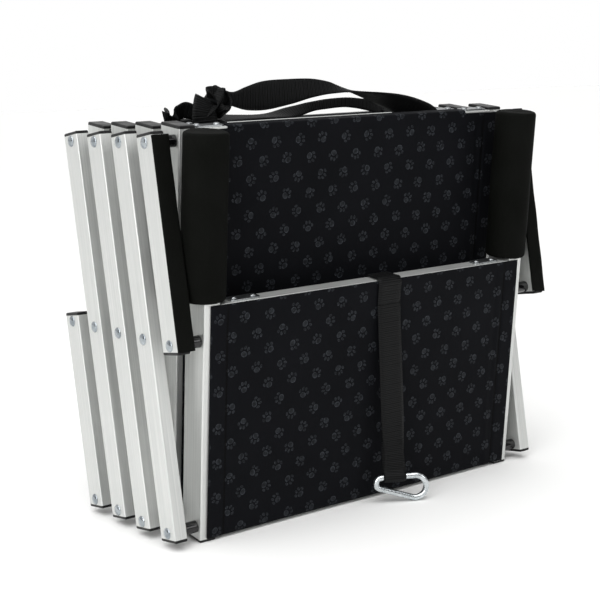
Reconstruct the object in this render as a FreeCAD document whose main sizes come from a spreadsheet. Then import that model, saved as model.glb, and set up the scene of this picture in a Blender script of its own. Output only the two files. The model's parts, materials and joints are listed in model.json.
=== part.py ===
import FreeCAD, Part
import math
import os
import Sketcher
from FreeCAD import Placement, Rotation, Vector

# A folding dog ramp: five fabric-covered step frames and five pairs of link bars, riveted
# together as lazy tongs. It is built folded, standing on its rails' lower ends.
# X is the width, Y runs from the front to the back of the folded pack, and Z is up.

os.makedirs("parts", exist_ok=True)
doc = FreeCAD.newDocument("dog_ramp")

SIZES = {
    # lazy tongs
    "half_bar": 190.0,       # pivot to pivot along any bar
    "stage_pitch": 50.0,     # from one frame to the next when folded
    "front_shift": -67.6,    # puts the folded pack's middle over the origin
    # step frames
    "rail_size": 18.0,
    "rail_depth": 34.0,      # front to back: the rails stand out behind the square cross bars
    "rail_wall": 1.6,
    "rail_outer": 207.0,     # half the width over a step's two rails
    "rail_tip": 15.0,        # pivot to the end of the cap
    "front_strip": 7.0,      # bare aluminium left beside the fabric
    "middle_bar_top": 36.0,  # first step: pivot to the top of its middle cross bar
    "board_thick": 4.0,
    "cover_thick": 1.6,
    "rear_strip": 3.6,       # bare aluminium left behind the fabric's turned edge
    "fit_gap": 0.3,
    # link bars
    "link_width": 14.0,
    "link_depth": 28.0,
    "link_wall": 1.6,
    "link_tip": 9.0,
    "pivot_gap": 18.0,       # between a rail and the link bar beside it
    # plastic end caps
    "cap_thick": 3.0,
    "rail_plug": 5.5,
    "link_plug": 2.5,
    "corner_round": 1.5,
    # rivets
    "shank_radius": 3.0,
    "running_gap": 0.05,
    "shoulder_radius": 6.0,
    "head_radius": 5.75,
    "head_height": 2.4,
    "tail_radius": 5.5,
    "tail_height": 2.0,
    "shoulder_gap": 0.15,
    "tail_gap": 0.1,
    # corner brackets and their screws
    "bracket_length": 34.0,
    "bracket_depth": 13.0,
    "bracket_thick": 1.5,
    "bracket_round": 4.0,
    "bracket_gap": 1.0,
    "screw_pitch": 22.0,
    "screw_radius": 3.6,
    "screw_height": 1.8,
    "screw_reach": 5.0,
    # foam
    "sleeve_radius": 22.0,
    "sleeve_low": 37.5,
    "sleeve_over": 8.0,      # past the end pivot's height
    "sleeve_round": 3.5,
    "pad_thick": 3.5,
    "pad_width": 15.5,
    # webbing
    "webbing_width": 30.0,
    "webbing_thick": 2.0,
    "handle_leg": 137.0,
    "handle_drop": 26.0,     # how far a handle's ends reach down the bar's two sides
    "front_crest": 42.0,
    "rear_crest": 24.0,
    "arch_share": 0.36,      # height of an arch's under side, as a share of its crest
    "bunch_inward": 9.0,
    "bunch_lift": 20.0,
    "bunch_width": 20.0,
    "bunch_depth": 7.5,
    "bunch_height": 19.0,
    "loop_drop": 26.0,
    "tether_side": 16.0,
    "tether_turn": 27.0,     # how far the snap hook is turned from the width
    # snap hook
    "wire_radius": 3.1,
    "eye_gap": 0.25,
    "floor_gap": 0.7,
    "small_bend": 6.0,
    "large_bend": 12.0,
    "bend_spacing": 36.0,
    "loop_place": 14.0,
    "loop_length": 24.0,
    "gate_start": 5.0,       # from the narrow bend to the gate's pin
    "gate_tail": 1.6,        # gate left behind its pin, short enough to turn
    "nose_length": 3.0,
    "stub_length": 2.5,
    "pin_radius": 0.9,
    "tongue_thick": 2.0,
}

sheet = doc.addObject("Spreadsheet::Sheet", "Sizes")
for line, (alias, value) in enumerate(SIZES.items(), start=1):
    sheet.set("A%d" % line, alias)
    sheet.set("B%d" % line, str(value))
    sheet.setAlias("B%d" % line, alias)
doc.recompute()


def size(alias):
    """One driving dimension, read from the sheet, in millimetres."""
    return float(sheet.get(alias))


# Frames and link bars lean by the same angle, to opposite sides of the vertical.
LEAN = "asin(Sizes.stage_pitch / (2 * Sizes.half_bar))"
BAR_END = "(Sizes.half_bar + Sizes.rail_tip - Sizes.cap_thick)"
LINK_END = "(Sizes.half_bar + Sizes.link_tip - Sizes.cap_thick)"
INSIDE = "(Sizes.rail_outer - Sizes.rail_size)"
LINK_SIDE = "(Sizes.rail_outer + Sizes.pivot_gap + Sizes.link_width / 2)"
RAIL_SIDE = "(Sizes.rail_outer - Sizes.rail_size / 2)"
# A rail's middle lies this far behind its pivots, and its front is flush with the cross bars.
SET_BACK = "(Sizes.rail_depth - Sizes.rail_size) / 2"
# The lowest point is on the rounded lower edge of a rail's cap.
LIFT = ("(Sizes.half_bar + Sizes.rail_tip - Sizes.corner_round) * cos(%s) + "
        "(Sizes.rail_size / 2 - Sizes.corner_round) * sin(%s) + Sizes.corner_round" % (LEAN, LEAN))

finished = {}


def bind(thing, **formulas):
    """Ties properties of a document object to formulas over the sheet."""
    for name, formula in formulas.items():
        thing.setExpression(name, formula)
    return thing


def finish(thing, label):
    """Keeps a finished sub-part under the name of its file."""
    thing.Label = label
    finished[label] = thing
    return thing


def stand(thing, stage, lean_sign, side="0"):
    """Places a piece on its stage's middle pivot, leaning by the fold angle."""
    thing.Placement = Placement(Vector(), Rotation(Vector(1, 0, 0), 5 * lean_sign))
    thing.setExpression("Placement.Base.x", side)
    thing.setExpression("Placement.Base.y", "(%g) * Sizes.stage_pitch + Sizes.front_shift" % (stage - 1.5))
    thing.setExpression("Placement.Base.z", LIFT)
    thing.setExpression("Placement.Rotation.Angle", "%d * %s" % (lean_sign, LEAN))
    return thing


def stand_step(thing, stage, side="0"):
    """A step frame leans forward at its top."""
    return stand(thing, stage, 1, side)


def stand_link(thing, stage, side="0"):
    """A link bar leans backward at its top."""
    return stand(thing, stage, -1, side)


def box(x, y, z, length, width, height):
    """A block with its low corner and its three sizes given as formulas."""
    block = doc.addObject("Part::Box", "block")
    bind(block, Length=length, Width=width, Height=height)
    block.setExpression("Placement.Base.x", x)
    block.setExpression("Placement.Base.y", y)
    block.setExpression("Placement.Base.z", z)
    return block


def rounded(block, radius, chosen):
    """A block with the edges that chosen(edge) picks rounded."""
    doc.recompute()
    smooth = doc.addObject("Part::Fillet", "rounded")
    smooth.Base = block
    picked = [number for number, edge in enumerate(block.Shape.Edges, 1) if chosen(edge)]
    smooth.Edges = [(number, size(radius), size(radius)) for number in picked]
    return smooth


def runs(edge, axis):
    """Whether a straight edge runs along the named axis."""
    return abs(getattr(edge.tangentAt(edge.FirstParameter), axis)) > 0.99


def fuse(pieces):
    """Joins pieces into one solid."""
    whole = doc.addObject("Part::MultiFuse", "joined")
    whole.Shapes = pieces
    whole.Refine = True
    return whole


def cut(base, tool):
    """Takes the tool away from the base."""
    rest = doc.addObject("Part::Cut", "cut")
    rest.Base = base
    rest.Tool = tool
    return rest


def group(pieces):
    """Separate solids that share a node."""
    whole = doc.addObject("Part::Compound", "group")
    whole.Links = pieces
    return whole


def origin_plane(body, role):
    """One of a body's own origin planes."""
    return next(item for item in body.Origin.OriginFeatures if item.Role == role)


def centred_rectangle(sketch, width, depth):
    """A rectangle about the sketch's origin, its two sides tied to formulas."""
    first = sketch.GeometryCount
    corners = [Vector(-5, -5, 0), Vector(5, -5, 0), Vector(5, 5, 0), Vector(-5, 5, 0)]
    for place in range(4):
        sketch.addGeometry(Part.LineSegment(corners[place], corners[(place + 1) % 4]), False)
    for place in range(4):
        following = first + (place + 1) % 4
        sketch.addConstraint(Sketcher.Constraint("Coincident", first + place, 2, following, 1))
    for place, kind in enumerate(["Horizontal", "Vertical", "Horizontal", "Vertical"]):
        sketch.addConstraint(Sketcher.Constraint(kind, first + place))
    sketch.addConstraint(Sketcher.Constraint("Symmetric", first, 1, first + 1, 2, -1, 1))
    across = sketch.addConstraint(Sketcher.Constraint("DistanceX", first, 1, first, 2, 10))
    along = sketch.addConstraint(Sketcher.Constraint("DistanceY", first + 1, 1, first + 1, 2, 10))
    sketch.setExpression("Constraints[%d]" % across, width)
    sketch.setExpression("Constraints[%d]" % along, depth)


def tube(name, width, depth, back, wall, low, high, heights, hole, through, outward):
    """An extruded rectangular tube with round corners and its pivot holes.

    Its middle lies the distance back behind the holes' line. The holes go through both walls,
    or through the wall on the outward side only.
    """
    body = doc.addObject("PartDesign::Body", name)
    section = body.newObject("Sketcher::SketchObject", name + "_section")
    section.AttachmentSupport = [(origin_plane(body, "XY_Plane"), "")]
    section.MapMode = "FlatFace"
    section.setExpression("AttachmentOffset.Base.y", back)
    section.setExpression("AttachmentOffset.Base.z", low)
    centred_rectangle(section, width, depth)
    centred_rectangle(section, "%s - 2 * %s" % (width, wall), "%s - 2 * %s" % (depth, wall))
    pad = body.newObject("PartDesign::Pad", name + "_length")
    pad.Profile = section
    pad.setExpression("Length", "(%s) - (%s)" % (high, low))
    doc.recompute()
    reach = pad.Shape.BoundBox
    corners = []
    for number, edge in enumerate(pad.Shape.Edges, start=1):
        middle = edge.CenterOfMass
        upright = abs(edge.tangentAt(edge.FirstParameter).z) > 0.99
        if upright and abs(abs(middle.x) - reach.XMax) < 0.01:
            corners.append("Edge%d" % number)
    rounding = body.newObject("PartDesign::Fillet", name + "_corners")
    rounding.Base = (pad, corners)
    bind(rounding, Radius="Sizes.corner_round")
    holes = body.newObject("Sketcher::SketchObject", name + "_holes")
    holes.AttachmentSupport = [(origin_plane(body, "YZ_Plane"), "")]
    holes.MapMode = "FlatFace"
    for number, height in enumerate(heights):
        holes.addGeometry(Part.Circle(Vector(0, 150 * height, 0), Vector(0, 0, 1), 3), False)
        radius = holes.addConstraint(Sketcher.Constraint("Radius", number, 3.0))
        holes.addConstraint(Sketcher.Constraint("PointOnObject", number, 3, -2))
        rise = holes.addConstraint(Sketcher.Constraint("DistanceY", -1, 1, number, 3, 150 * height))
        holes.setExpression("Constraints[%d]" % radius, hole)
        holes.setExpression("Constraints[%d]" % rise, "%d * Sizes.half_bar" % height)
    before = rounding
    pocket = body.newObject("PartDesign::Pocket", name + "_pivots")
    pocket.Profile = holes
    pocket.Type = "Length"
    pocket.Length = 100
    if through:
        pocket.SideType = "Symmetric"
    else:
        pocket.Reversed = outward > 0
    body.Tip = pocket
    doc.recompute()
    if before.Shape.Volume - pocket.Shape.Volume < 1:
        raise ValueError(name + ": its pivot holes cut nothing")
    return body


# Each step's rails run between these ends, in bar lengths and formulas above its middle pivot.
# The first step's upper half is a pair of arms. The last step has only its upper half.
STEP_PIVOTS = {1: [-1, 0], 2: [-1, 0, 1], 3: [-1, 0, 1], 4: [-1, 0, 1], 5: [0, 1]}
LINK_PIVOTS = {1: [0, 1], 2: [-1, 0, 1], 3: [-1, 0, 1], 4: [-1, 0, 1], 5: [-1, 0]}
ARM_END = "(Sizes.half_bar - Sizes.cap_thick)"
MIDDLE_END = "(Sizes.rail_tip - Sizes.cap_thick)"
LINK_MIDDLE = "(Sizes.link_tip - Sizes.cap_thick)"


def rail_ends(stage):
    """The low and high ends of a step's rails, caps not counted."""
    low = "-" + MIDDLE_END if stage == 5 else "-" + BAR_END
    high = ARM_END if stage == 1 else BAR_END
    return low, high


def link_ends(stage):
    """The low and high ends of a link's bars, caps not counted."""
    low = "-" + LINK_MIDDLE if stage == 1 else "-" + LINK_END
    high = LINK_MIDDLE if stage == 5 else LINK_END
    return low, high


def make_rails(stage):
    """The two rails of a step. The short pair of the last step shares a node."""
    low, high = rail_ends(stage)
    rails = []
    for name, sign in (("left", -1), ("right", 1)):
        label = "step_%d_%s_rail" % (stage, name)
        rail = tube(label, "Sizes.rail_size", "Sizes.rail_depth", SET_BACK, "Sizes.rail_wall",
                    low, high, STEP_PIVOTS[stage], "Sizes.shank_radius + Sizes.running_gap", False, sign)
        if stage == 5:
            rail.setExpression("Placement.Base.x", "%d * %s" % (sign, RAIL_SIDE))
            rails.append(rail)
        else:
            finish(stand_step(rail, stage, "%d * %s" % (sign, RAIL_SIDE)), label)
    if rails:
        finish(stand_step(group(rails), stage), "step_%d_rails" % stage)


def make_links(stage):
    """The two link bars of a stage. The short pairs at the two ends share a node each."""
    low, high = link_ends(stage)
    bars = []
    for name, sign in (("left", -1), ("right", 1)):
        label = "link_%d_%s_bar" % (stage, name)
        bar = tube(label, "Sizes.link_width", "Sizes.link_depth", "0", "Sizes.link_wall",
                   low, high, LINK_PIVOTS[stage], "Sizes.shank_radius", True, sign)
        if stage in (1, 5):
            bar.setExpression("Placement.Base.x", "%d * %s" % (sign, LINK_SIDE))
            bars.append(bar)
        else:
            finish(stand_link(bar, stage, "%d * %s" % (sign, LINK_SIDE)), label)
    if bars:
        finish(stand_link(group(bars), stage), "link_%d_bars" % stage)


def cap(side, end, sign, width, depth, back, wall, plug):
    """A plastic end cap: a plate over the tube's end and a plug that fits inside it."""
    base = end if sign > 0 else "%s - Sizes.cap_thick" % end
    plate = box("%s - %s / 2" % (side, width), "%s - %s / 2" % (back, depth), base,
                width, depth, "Sizes.cap_thick")
    doc.recompute()
    reach = plate.Shape.BoundBox
    rim = reach.ZMax if sign > 0 else reach.ZMin
    plate = rounded(plate, "corner_round",
                    lambda edge: runs(edge, "z") or abs(edge.CenterOfMass.z - rim) < 0.01)
    inner = "(%s - 2 * %s - Sizes.fit_gap)" % (width, wall)
    deep = "(%s - 2 * %s - Sizes.fit_gap)" % (depth, wall)
    start = "%s - %s" % (end, plug) if sign > 0 else end
    stem = box("%s - %s / 2" % (side, inner), "%s - %s / 2" % (back, deep), start, inner, deep, plug)
    return fuse([plate, stem])


def make_caps(stage):
    """The caps in both ends of a step's rails and of a link's bars."""
    for kind, ends, side, stander, plug in (
            ("step", rail_ends(stage), RAIL_SIDE, stand_step, "Sizes.rail_plug"),
            ("link", link_ends(stage), LINK_SIDE, stand_link, "Sizes.link_plug")):
        width = "Sizes.rail_size" if kind == "step" else "Sizes.link_width"
        depth = "Sizes.rail_depth" if kind == "step" else "Sizes.link_depth"
        back = SET_BACK if kind == "step" else "0"
        wall = "Sizes.rail_wall" if kind == "step" else "Sizes.link_wall"
        caps = []
        for sign in (-1, 1):
            place = "%d * %s" % (sign, side)
            caps.append(cap(place, "(%s)" % ends[0], -1, width, depth, back, wall, plug))
            caps.append(cap(place, "(%s)" % ends[1], 1, width, depth, back, wall, plug))
        finish(stander(group(caps), stage), "%s_%d_caps" % (kind, stage))


def upper_bar_top(stage):
    """The top face of a step's upper cross bar."""
    return "Sizes.middle_bar_top" if stage == 1 else BAR_END


def bracket_end(stage):
    """Where a corner bracket ends on its outer side: the first step's stops at its foam sleeve."""
    if stage == 1:
        return "(%s - Sizes.sleeve_radius - Sizes.bracket_gap)" % RAIL_SIDE
    return "(%s - Sizes.bracket_gap)" % INSIDE


def screw_places(stage):
    """The four screws' places across a step, two in each corner bracket."""
    near = "(%s - Sizes.bracket_length / 2 - Sizes.screw_pitch / 2)" % bracket_end(stage)
    far = "(%s + Sizes.screw_pitch)" % near
    return ["-" + far, "-" + near, near, far]


def make_cross_bars(stage):
    """The square bars between a step's rails, with screw holes in the upper one's top."""
    length = "2 * " + INSIDE
    inner = "(Sizes.rail_size - 2 * Sizes.rail_wall)"
    bars = []
    low = rail_ends(stage)[0]
    for base in (low, "%s - Sizes.rail_size" % upper_bar_top(stage)):
        outside = box("-" + INSIDE, "-Sizes.rail_size / 2", base,
                      length, "Sizes.rail_size", "Sizes.rail_size")
        outside = rounded(outside, "corner_round", lambda edge: runs(edge, "x"))
        hollow = box("-" + INSIDE, "-%s / 2" % inner, "%s + Sizes.rail_wall" % base, length, inner, inner)
        bars.append(cut(outside, hollow))
    drills = []
    for place in screw_places(stage):
        drill = doc.addObject("Part::Cylinder", "screw_hole")
        bind(drill, Radius="Sizes.screw_radius / 2", Height="2 * Sizes.screw_reach")
        drill.setExpression("Placement.Base.x", place)
        drill.setExpression("Placement.Base.z",
                            "%s - Sizes.screw_reach - Sizes.fit_gap" % upper_bar_top(stage))
        drills.append(drill)
    upper = cut(bars[1], group(drills))
    finish(stand_step(group([bars[0], upper]), stage), "step_%d_cross_bars" % stage)


def make_brackets(stage):
    """Steel corner plates on the upper cross bar, each held by two dome-headed screws."""
    top = upper_bar_top(stage)
    pieces = []
    for sign in (-1, 1):
        start = "-" + bracket_end(stage) if sign < 0 else "%s - Sizes.bracket_length" % bracket_end(stage)
        plate = box(start, "-Sizes.bracket_depth / 2", top,
                    "Sizes.bracket_length", "Sizes.bracket_depth", "Sizes.bracket_thick")
        plate = rounded(plate, "bracket_round", lambda edge: runs(edge, "z"))
        drills = []
        for place in screw_places(stage):
            drill = doc.addObject("Part::Cylinder", "plate_hole")
            bind(drill, Radius="Sizes.screw_radius / 2", Height="3 * Sizes.bracket_thick")
            drill.setExpression("Placement.Base.x", place)
            drill.setExpression("Placement.Base.z", "%s - Sizes.bracket_thick" % top)
            drills.append(drill)
        pieces.append(cut(plate, group(drills)))
    for place in screw_places(stage):
        shank = doc.addObject("Part::Cylinder", "screw_shank")
        bind(shank, Radius="Sizes.screw_radius / 2", Height="Sizes.screw_reach + Sizes.bracket_thick")
        shank.setExpression("Placement.Base.x", place)
        shank.setExpression("Placement.Base.z", "%s - Sizes.screw_reach" % top)
        dome = doc.addObject("Part::Ellipsoid", "screw_head")
        dome.Angle1 = 0
        bind(dome, Radius1="Sizes.screw_height", Radius2="Sizes.screw_radius", Radius3="Sizes.screw_radius")
        dome.setExpression("Placement.Base.x", place)
        dome.setExpression("Placement.Base.z", "%s + Sizes.bracket_thick" % top)
        pieces.append(fuse([shank, dome]))
    finish(stand_step(group(pieces), stage), "step_%d_brackets" % stage)


def make_tread(stage):
    """The thin board between a step's rails and the fabric stretched over its front."""
    low = rail_ends(stage)[0]
    bottom = "(%s + Sizes.rail_size + Sizes.fit_gap)" % low
    top = "(%s - Sizes.rail_size - Sizes.fit_gap)" % upper_bar_top(stage)
    wide = "(%s - Sizes.fit_gap)" % INSIDE
    board = box("-" + wide, "-Sizes.rail_size / 2", bottom,
                "2 * " + wide, "Sizes.board_thick", "%s - %s" % (top, bottom))
    finish(stand_step(group([board]), stage), "step_%d_board" % stage)
    edge = "(Sizes.rail_outer - Sizes.front_strip)"
    front = "(-Sizes.rail_size / 2 - Sizes.cover_thick)"
    face = box("-" + edge, front, "%s + Sizes.bracket_gap" % low, "2 * " + edge, "Sizes.cover_thick",
               "%s - (%s) - Sizes.bracket_gap" % (upper_bar_top(stage), low))
    if stage in (1, 5):
        return finish(stand_step(group([face]), stage), "step_%d_cover" % stage)
    # The fabric turns over the upper cross bar, between the corner brackets.
    over = "(%s - Sizes.bracket_length - Sizes.bracket_gap)" % bracket_end(stage)
    turn = box("-" + over, front, upper_bar_top(stage),
               "2 * " + over, "Sizes.rail_size - Sizes.rear_strip + Sizes.cover_thick", "Sizes.cover_thick")
    return finish(stand_step(fuse([face, turn]), stage), "step_%d_cover" % stage)


def rivet(sign, height):
    """A shouldered rivet through a link bar and the near wall of a rail, along X."""
    outer_face = "(%s + Sizes.link_width / 2)" % LINK_SIDE
    inner_face = "(%s - Sizes.link_width / 2)" % LINK_SIDE
    rail_wall_in = "(Sizes.rail_outer - Sizes.rail_wall)"
    pieces = []
    for start, length, radius in (
            ("%s - Sizes.tail_height" % rail_wall_in, "%s - %s" % (outer_face, rail_wall_in), "shank_radius"),
            ("Sizes.rail_outer + Sizes.shoulder_gap", "Sizes.pivot_gap - Sizes.shoulder_gap",
             "shoulder_radius"),
            ("%s - Sizes.tail_height - Sizes.tail_gap" % rail_wall_in, "Sizes.tail_height",
             "tail_radius")):
        rod = doc.addObject("Part::Cylinder", "rivet_" + radius)
        rod.Placement = Placement(Vector(), Rotation(Vector(0, 1, 0), 90 * sign))
        extra = " + Sizes.tail_height" if radius == "shank_radius" else ""
        bind(rod, Radius="Sizes." + radius, Height=length + extra)
        rod.setExpression("Placement.Base.x", "%d * (%s)" % (sign, start))
        rod.setExpression("Placement.Base.z", "%d * Sizes.half_bar" % height)
        pieces.append(rod)
    head = doc.addObject("Part::Ellipsoid", "rivet_head")
    head.Angle1 = 0
    head.Placement = Placement(Vector(), Rotation(Vector(0, 1, 0), 90 * sign))
    bind(head, Radius1="Sizes.head_height", Radius2="Sizes.head_radius", Radius3="Sizes.head_radius")
    head.setExpression("Placement.Base.x", "%d * %s" % (sign, outer_face))
    head.setExpression("Placement.Base.z", "%d * Sizes.half_bar" % height)
    pieces.append(head)
    return fuse(pieces)


def make_pivots(stage):
    """The rivets that turn with one pair of link bars."""
    rivets = [rivet(sign, height) for sign in (-1, 1) for height in LINK_PIVOTS[stage]]
    finish(stand_link(group(rivets), stage), "link_%d_pivots" % stage)


for stage in range(1, 6):
    make_rails(stage)
    make_cross_bars(stage)
    make_brackets(stage)
    make_tread(stage)
    make_links(stage)
    make_pivots(stage)
    make_caps(stage)
doc.recompute()


def make_sleeves():
    """Foam sleeves on the first step's two arms, closed at the top."""
    sleeves = []
    for sign in (-1, 1):
        place = "%d * %s" % (sign, RAIL_SIDE)
        foam = doc.addObject("Part::Cylinder", "sleeve")
        bind(foam, Radius="Sizes.sleeve_radius",
             Height="Sizes.half_bar + Sizes.sleeve_over - Sizes.sleeve_low")
        foam.setExpression("Placement.Base.x", place)
        foam.setExpression("Placement.Base.y", SET_BACK)
        foam.setExpression("Placement.Base.z", "Sizes.sleeve_low")
        foam = rounded(foam, "sleeve_round", lambda edge: "Circle" in str(edge.Curve))
        bore_wide = "(Sizes.rail_size + Sizes.fit_gap)"
        bore_deep = "(Sizes.rail_depth + Sizes.fit_gap)"
        below = "Sizes.sleeve_low - Sizes.wire_radius"
        bore = box("%s - %s / 2" % (place, bore_wide), "%s - %s / 2" % (SET_BACK, bore_deep), below,
                   bore_wide, bore_deep, "Sizes.half_bar + Sizes.fit_gap - (%s)" % below)
        sleeves.append(cut(foam, bore))
    finish(stand_step(group(sleeves), 1), "foam_sleeves")


def make_pads():
    """Foam strips glued to the front faces of the foremost short link bars."""
    low, high = link_ends(1)
    pads = []
    for sign in (-1, 1):
        pads.append(box("%d * %s - Sizes.pad_width / 2" % (sign, LINK_SIDE),
                        "-Sizes.link_depth / 2 - Sizes.pad_thick", low,
                        "Sizes.pad_width", "Sizes.pad_thick", "(%s) - (%s)" % (high, low)))
    finish(stand_link(group(pads), 1), "link_1_pads")


def arch(name, crest, bunch):
    """A carrying handle of webbing standing on edge: a flat arch between two legs."""
    reach = size("handle_leg")
    half = size("webbing_width") / 2
    thick = size("webbing_thick")
    drop = size("handle_drop")
    foot = size("half_bar") + size("rail_tip") - size("cap_thick") + size("cover_thick") + size("fit_gap")
    rise = foot + thick
    top = size("half_bar") + size("rail_tip") - size("cap_thick") + crest
    under = rise + size("arch_share") * (top - rise)
    outer = Part.Arc(Vector(-reach - half, 0, rise), Vector(0, 0, top), Vector(reach + half, 0, rise))
    inner = Part.Arc(Vector(reach - half, 0, rise), Vector(0, 0, under), Vector(-reach + half, 0, rise))
    edges = [outer.toShape(), Part.makeLine(Vector(reach + half, 0, rise), Vector(reach - half, 0, rise)),
             inner.toShape(), Part.makeLine(Vector(-reach + half, 0, rise), Vector(-reach - half, 0, rise))]
    flat = Part.Face(Part.Wire(edges))
    flat.translate(Vector(0, -2 * thick, 0))
    band = flat.extrude(Vector(0, 4 * thick, 0))
    front = size("rail_size") / 2 + size("cover_thick") + size("fit_gap")
    for sign in (-1, 1):
        side = sign * reach - half
        sole = Part.makeBox(2 * half, 2 * (front + thick), thick, Vector(side, -front - thick, foot))
        band = band.fuse(sole)
        for edge in (-front - thick, front):
            leg = Part.makeBox(2 * half, thick, drop + thick, Vector(side, edge, foot - drop))
            band = band.fuse(leg)
    if bunch:
        knot = Part.makeSphere(1)
        stretch = FreeCAD.Matrix()
        stretch.scale(Vector(size("bunch_width"), size("bunch_depth"), size("bunch_height")))
        knot = knot.transformGeometry(stretch)
        knot.translate(Vector(size("bunch_inward") - reach, 0, rise + size("bunch_lift")))
        band = band.fuse(knot)
    handle = doc.addObject("Part::Feature", name)
    handle.Shape = band.removeSplitter()
    return handle


def make_handles():
    """The two carrying handles, sewn round the upper cross bars of the third and fourth steps."""
    finish(stand_step(arch("front_handle", size("front_crest"), True), 3), "front_handle")
    finish(stand_step(arch("rear_handle", size("rear_crest"), False), 4), "rear_handle")


make_sleeves()
make_pads()
make_handles()

# The tether: a webbing loop over the first step's middle cross bar, a strap that hangs from it,
# and a spring-gate snap hook, for holding the ramp's top to a car.
lean = math.asin(size("stage_pitch") / (2 * size("half_bar")))
edge = size("corner_round")
lift = ((size("half_bar") + size("rail_tip") - edge) * math.cos(lean)
        + (size("rail_size") / 2 - edge) * math.sin(lean) + edge)
front_pivot = Vector(0, -0.5 * size("stage_pitch") + size("front_shift"), lift)
STRAP_FRONT = "(Sizes.rail_size / 2 + Sizes.cover_thick + Sizes.fit_gap)"


def make_tether_loop():
    """The webbing over the cross bar: across its top and down its front and back."""
    side = "Sizes.tether_side - Sizes.webbing_width / 2"
    top = "(Sizes.middle_bar_top + Sizes.fit_gap)"
    deep = "Sizes.webbing_thick"
    over = box(side, "-%s - %s" % (STRAP_FRONT, deep), top,
               "Sizes.webbing_width", "2 * (%s + %s)" % (STRAP_FRONT, deep), deep)
    drop = "%s - Sizes.loop_drop" % top
    ahead = box(side, "-%s - %s" % (STRAP_FRONT, deep), drop, "Sizes.webbing_width", deep, "Sizes.loop_drop")
    behind = box(side, STRAP_FRONT, drop, "Sizes.webbing_width", deep, "Sizes.loop_drop")
    finish(stand_step(fuse([over, ahead, behind]), 1), "tether_loop")


def tether_top():
    """The fold line where the strap starts to hang, just under the loop's front end."""
    front = size("rail_size") / 2 + size("cover_thick") + size("fit_gap") + size("webbing_thick") / 2
    height = size("middle_bar_top") - size("loop_drop") - size("webbing_thick") / 2
    turned = Rotation(Vector(1, 0, 0), math.degrees(lean)).multVec(Vector(0, -front, height))
    return front_pivot + turned + Vector(size("tether_side"), 0, 0)


hook_height = 2 * size("large_bend") + size("wire_radius") + size("floor_gap")
hang = tether_top()
hook_turn = Rotation(Vector(0, 0, 1), -size("tether_turn"))
spine = Vector(hang.x, hang.y, hook_height)


def make_tether_strap():
    """The strap hangs straight down from a round fold to a sewn eye on the snap hook's spine."""
    half = size("webbing_width") / 2
    thick = size("webbing_thick")
    eye_in = size("wire_radius") + size("eye_gap")
    eye_out = eye_in + thick
    low = hook_height + eye_in
    strap = Part.makeBox(2 * half, thick, hang.z - low, Vector(-half, -thick / 2, eye_in))
    fold = Part.makeCylinder(thick / 2, 2 * half, Vector(-half, 0, hang.z - hook_height), Vector(1, 0, 0))
    long = size("loop_length")
    eye = Part.makeCylinder(eye_out, long, Vector(-long / 2, 0, 0), Vector(1, 0, 0))
    bore = Part.makeCylinder(eye_in, 2 * long, Vector(-long, 0, 0), Vector(1, 0, 0))
    eye.rotate(Vector(), Vector(0, 0, 1), -size("tether_turn"))
    bore.rotate(Vector(), Vector(0, 0, 1), -size("tether_turn"))
    piece = doc.addObject("Part::Feature", "tether_strap")
    piece.Shape = strap.fuse([eye, fold]).cut(bore).removeSplitter()
    piece.Placement = Placement(spine, Rotation())
    finish(piece, "tether_strap")


def hook_tangents():
    """The two tangent points of the hook's lower side, in the hook's own plane."""
    small, large, apart = size("small_bend"), size("large_bend"), size("bend_spacing")
    slope = 2 * math.atan2(large - small, apart)
    away = Vector(-math.sin(slope), 0, -math.cos(slope))
    near = Vector(0, 0, -small) + away * small
    far = Vector(apart, 0, -large) + away * large
    return near, far, slope


def make_hook():
    """A pear-shaped snap hook of round wire: its spine through the strap's eye, its gate below."""
    small, large, apart = size("small_bend"), size("large_bend"), size("bend_spacing")
    wire = size("wire_radius")
    near, far, slope = hook_tangents()
    along = (far - near).normalize()
    hinge = near + along * size("gate_start")
    nose = far - along * size("nose_length")
    left = Vector(-small * math.cos(slope / 2), 0, -small + small * math.sin(slope / 2))
    right = Vector(apart + large * math.cos(slope / 2), 0, -large - large * math.sin(slope / 2))
    path = Part.Wire([
        Part.makeLine(nose, far),
        Part.Arc(far, right, Vector(apart, 0, 0)).toShape(),
        Part.makeLine(Vector(apart, 0, 0), Vector(0, 0, 0)),
        Part.Arc(Vector(0, 0, 0), left, near).toShape(),
        Part.makeLine(near, near + along * size("stub_length"))])
    ring = Part.Wire([Part.makeCircle(wire, nose, along)])
    body = path.makePipeShell([ring], True, False)
    # A flat tongue carries the gate's hinge pin.
    thick, tail, pin_size = size("tongue_thick"), size("gate_tail"), size("pin_radius")
    gap = size("running_gap")
    tongue = Part.makeBox(6.5, thick, 1.5 * wire, Vector(0, -thick / 2, -0.75 * wire))
    tongue.rotate(Vector(), Vector(0, 1, 0), math.degrees(slope))
    tongue.translate(near + along * (size("stub_length") - 0.5))
    pin = Part.makeCylinder(pin_size, 2 * wire, hinge + Vector(0, -wire, 0), Vector(0, 1, 0))
    body = body.fuse([tongue, pin])
    length = (nose - hinge).Length + tail - size("fit_gap")
    rod = Part.makeCylinder(wire, length, hinge - along * tail, along)
    slot = Part.makeBox(2.4 * wire, thick + 4 * gap, 4 * wire,
                        Vector(-wire, -thick / 2 - 2 * gap, -2 * wire))
    slot.rotate(Vector(), Vector(0, 1, 0), math.degrees(slope))
    slot.translate(hinge)
    eye = Part.makeCylinder(pin_size + gap, 3 * wire, hinge - Vector(0, 1.5 * wire, 0), Vector(0, 1, 0))
    gate = rod.cut(slot).cut(eye)
    shift = Placement(spine, hook_turn).multiply(Placement(Vector(-size("loop_place"), 0, 0), Rotation()))
    for label, shape in (("carabiner_body", body), ("carabiner_gate", gate)):
        piece = doc.addObject("Part::Feature", label)
        piece.Shape = shape
        piece.Placement = shift
        finish(piece, label)
    return shift.multVec(hinge)


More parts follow.
